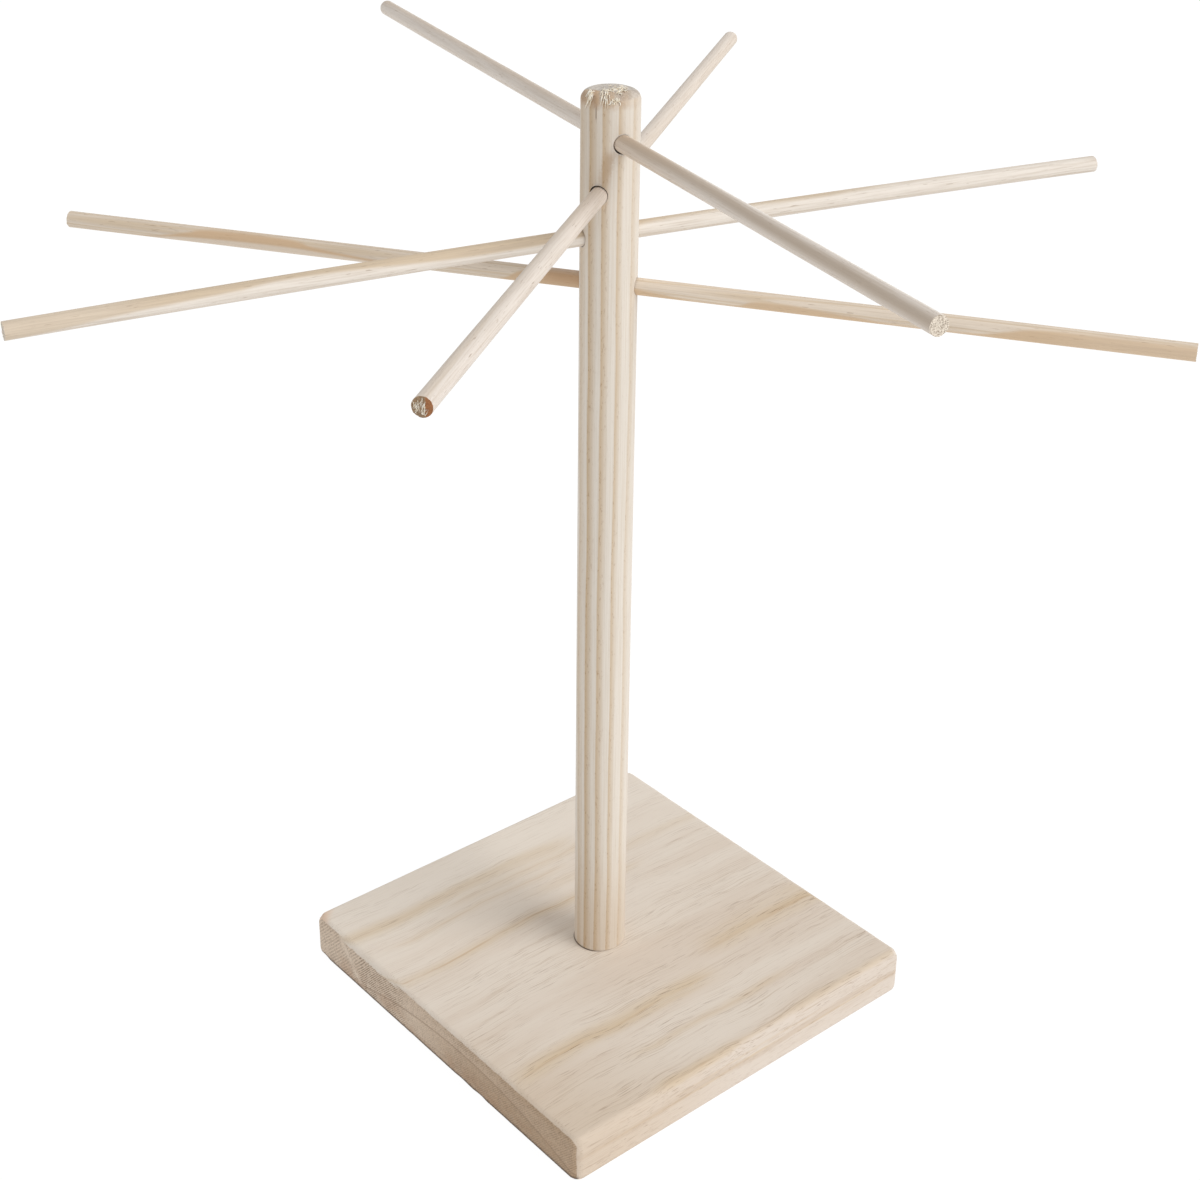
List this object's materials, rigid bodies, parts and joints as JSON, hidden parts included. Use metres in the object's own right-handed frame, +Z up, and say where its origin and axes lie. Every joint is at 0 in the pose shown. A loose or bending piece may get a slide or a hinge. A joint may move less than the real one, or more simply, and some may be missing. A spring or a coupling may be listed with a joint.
{
  "type": "pasta drying rack",
  "caption": "Free-standing wooden rack with a square board, an upright post and loose crossing rods that hold fresh pasta while it dries.",
  "frame": {"origin": "middle of the board's underside, where the rack stands", "axes": "+Z up along the post; +X along the board's grain; +Y away from the long-grain edge that faces right in the reference view"},
  "size_m": [0.4975, 0.4963, 0.4611],
  "materials": {
    "board_pine": "bare sanded pine",
    "post_pine": "bare turned pine with strong straight stripes",
    "rod_wood": "bare dowel, sawn ends",
    "screw_steel": "zinc plated"
  },
  "bodies": {
    "stand": {"base": "board_pine", "post": "post_pine", "base_screw": "screw_steel"},
    "rod_top": {"rod_top": "rod_wood"},
    "rod_upper": {"rod_upper": "rod_wood"},
    "rod_lower": {"rod_lower": "rod_wood"},
    "rod_bottom": {"rod_bottom": "rod_wood"}
  },
  "joints": [
    {"name": "rod_top_slide", "type": "slide", "parent": "stand", "child": "rod_top", "axis": [-0.2453, -0.9694, 0.007], "range_m": [-0.26, 0.285]},
    {"name": "rod_upper_slide", "type": "slide", "parent": "stand", "child": "rod_upper", "axis": [-0.8131, -0.5821, -0.0052], "range_m": [-0.256, 0.289]},
    {"name": "rod_lower_slide", "type": "slide", "parent": "stand", "child": "rod_lower", "axis": [-0.9677, 0.2521, -0.0105], "range_m": [-0.272, 0.275]},
    {"name": "rod_bottom_slide", "type": "slide", "parent": "stand", "child": "rod_bottom", "axis": [0.5432, -0.8396, 0], "range_m": [-0.265, 0.28]}
  ]
}
